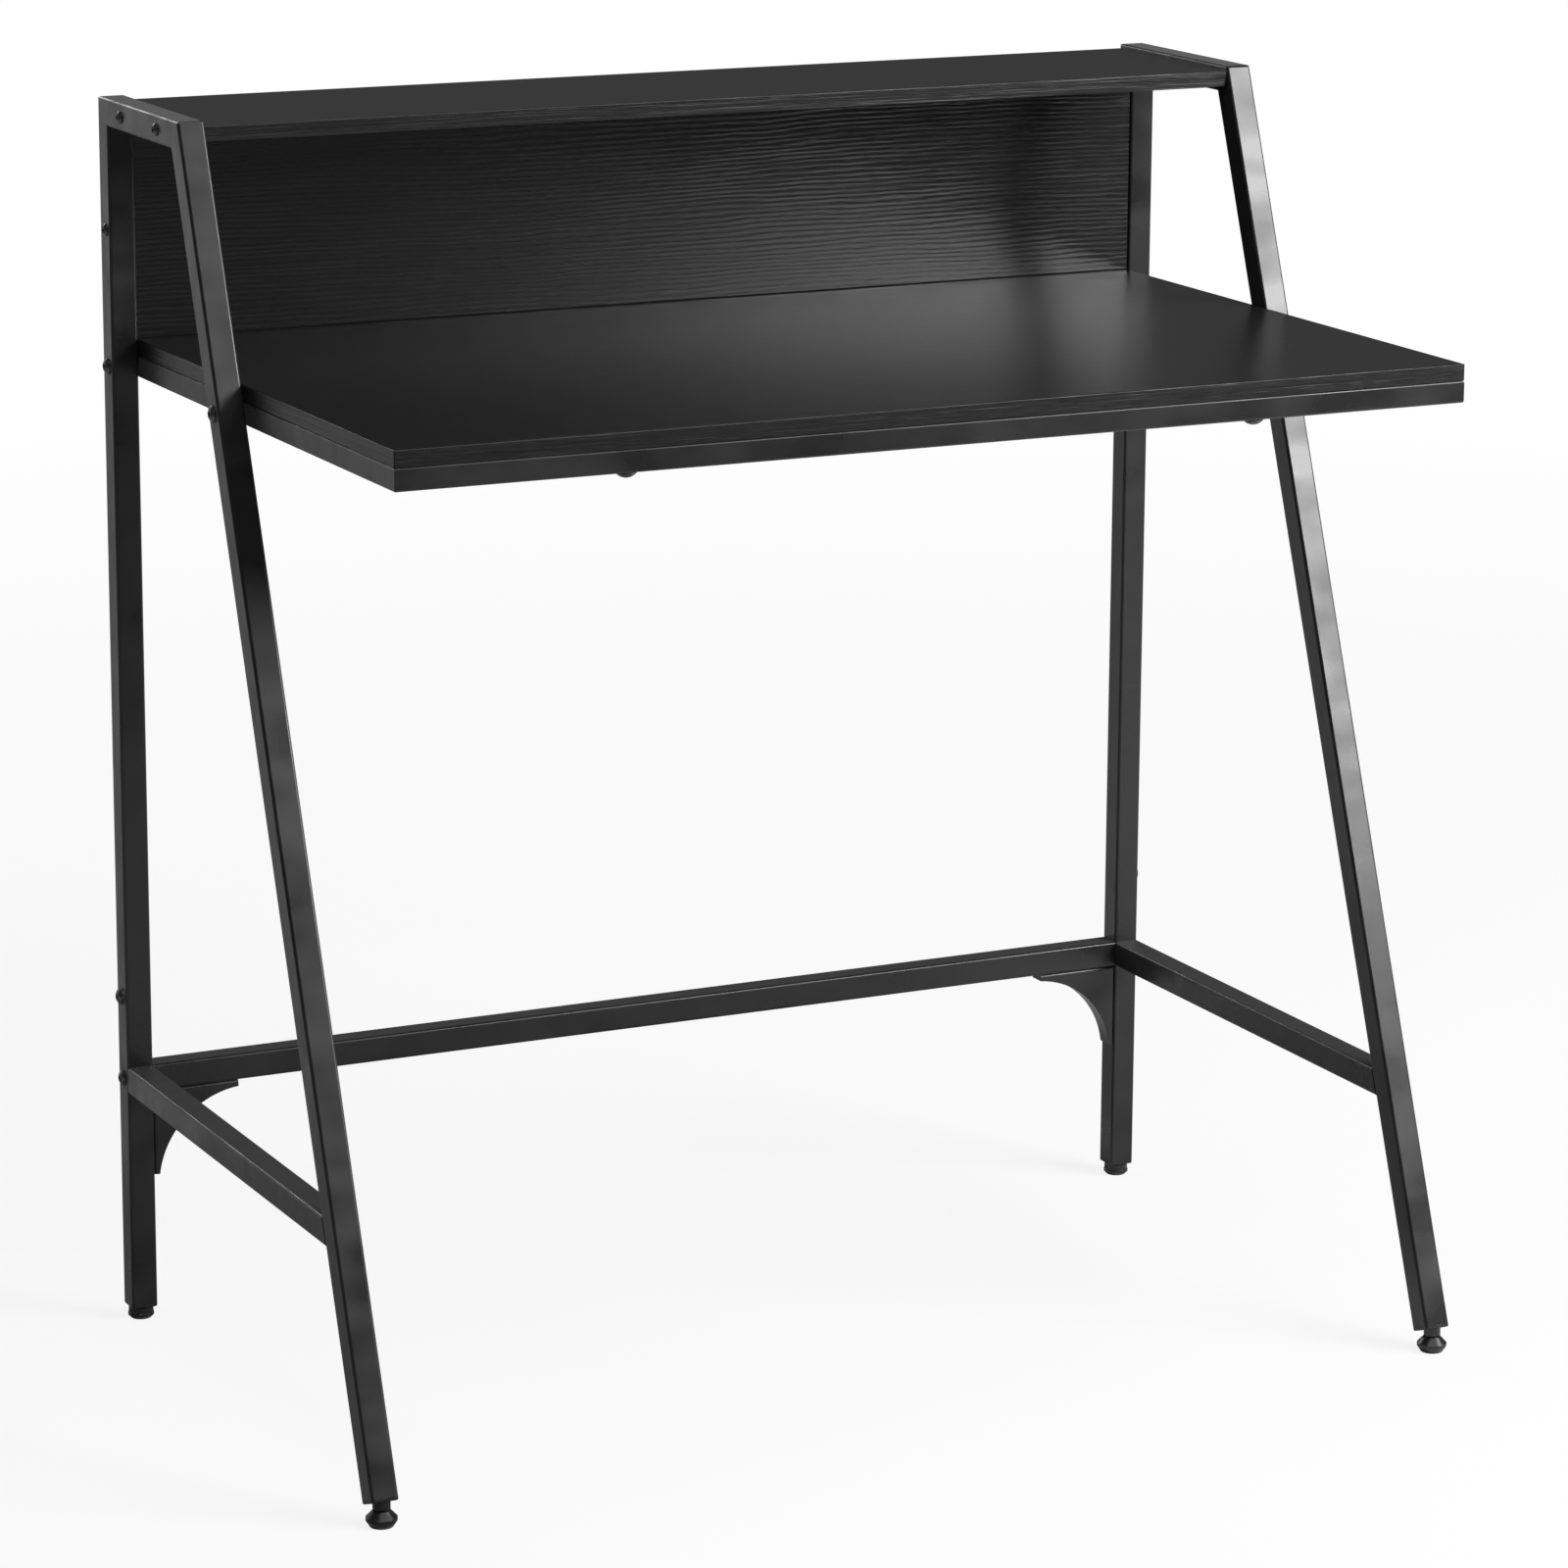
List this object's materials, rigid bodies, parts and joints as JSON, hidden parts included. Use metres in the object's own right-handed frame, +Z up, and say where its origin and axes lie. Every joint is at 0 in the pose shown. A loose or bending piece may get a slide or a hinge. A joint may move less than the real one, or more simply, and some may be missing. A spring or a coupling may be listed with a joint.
{
  "type": "computer_desk",
  "caption": "Compact computer desk with raked steel side frames, a wood-grain desktop and a low raised shelf with a back panel.",
  "frame": {"origin": "on the floor, below the centre of the bounding box", "axes": "+X to the right of a person sitting at the desk, +Y to the rear, +Z up"},
  "size_m": [0.8682, 0.507, 0.92],
  "materials": {
    "powder_coat": "fine-grained charcoal black powder coat, satin",
    "black_laminate": "black wood-grain laminate on particle board, embossed, semi-gloss",
    "edge_band": "black wood-grain edge band, satin",
    "black_plastic": "moulded black plastic, slight gloss",
    "black_steel": "black-coated steel fasteners, satin",
    "zinc_steel": "zinc-plated steel"
  },
  "bodies": {
    "desk": {"left_rear_leg": "powder_coat", "right_rear_leg": "powder_coat", "left_front_leg": "powder_coat", "right_front_leg": "powder_coat", "left_top_bar": "powder_coat", "right_top_bar": "powder_coat", "left_side_stretcher": "powder_coat", "right_side_stretcher": "powder_coat", "rear_stretcher": "powder_coat", "left_gusset": "powder_coat", "right_gusset": "powder_coat", "stretcher_end_plates": "powder_coat", "under_frame_front": "powder_coat", "under_frame_rear": "powder_coat", "under_frame_left": "powder_coat", "under_frame_right": "powder_coat", "desktop_board": "black_laminate", "desktop_edge_bands": "edge_band", "upper_shelf": "black_laminate", "shelf_edge_bands": "edge_band", "back_panel": "black_laminate", "left_rear_leg_insert": "black_plastic", "right_rear_leg_insert": "black_plastic", "left_front_leg_insert": "black_plastic", "right_front_leg_insert": "black_plastic", "rear_insert_nuts": "zinc_steel", "under_frame_bolts": "black_steel", "under_frame_nuts": "zinc_steel", "shelf_screws": "black_steel", "back_panel_screws": "black_steel", "stretcher_bolts": "black_steel", "spare_bolts": "black_steel", "spare_rivet_nuts": "zinc_steel", "desktop_bolts": "black_steel", "desktop_insert_nuts": "zinc_steel"},
    "left_rear_stem": {"left_rear_glide_stem": "zinc_steel"},
    "left_rear_base": {"left_rear_glide_base": "black_plastic"},
    "left_front_pad": {"left_front_foot_pad": "black_plastic"},
    "right_rear_stem": {"right_rear_glide_stem": "zinc_steel"},
    "right_rear_base": {"right_rear_glide_base": "black_plastic"},
    "right_front_pad": {"right_front_foot_pad": "black_plastic"}
  },
  "joints": [
    {"name": "left_rear_glide_travel", "type": "slide", "parent": "desk", "child": "left_rear_stem", "axis": [0, 0, -1], "range_m": [0, 0.0101]},
    {"name": "left_rear_glide_turn", "type": "hinge", "parent": "left_rear_stem", "child": "left_rear_base", "pos_m": [-0.42, 0.2435, 0.0092], "axis": [0, 0, -1], "range_deg": [0, 2880]},
    {"name": "left_front_pad_tilt", "type": "hinge", "parent": "desk", "child": "left_front_pad", "pos_m": [-0.42, -0.23615, 0.007], "axis": [1, 0, 0], "range_deg": [-8, 8]},
    {"name": "right_rear_glide_travel", "type": "slide", "parent": "desk", "child": "right_rear_stem", "axis": [0, 0, -1], "range_m": [0, 0.0101]},
    {"name": "right_rear_glide_turn", "type": "hinge", "parent": "right_rear_stem", "child": "right_rear_base", "pos_m": [0.42, 0.2435, 0.0092], "axis": [0, 0, -1], "range_deg": [0, 2880]},
    {"name": "right_front_pad_tilt", "type": "hinge", "parent": "desk", "child": "right_front_pad", "pos_m": [0.42, -0.23615, 0.007], "axis": [1, 0, 0], "range_deg": [-8, 8]}
  ],
  "couplings": [
    {"joint": "left_rear_glide_travel", "follows": "left_rear_glide_turn", "m_per_rad": 0.00019894},
    {"joint": "right_rear_glide_travel", "follows": "right_rear_glide_turn", "m_per_rad": 0.00019894}
  ]
}
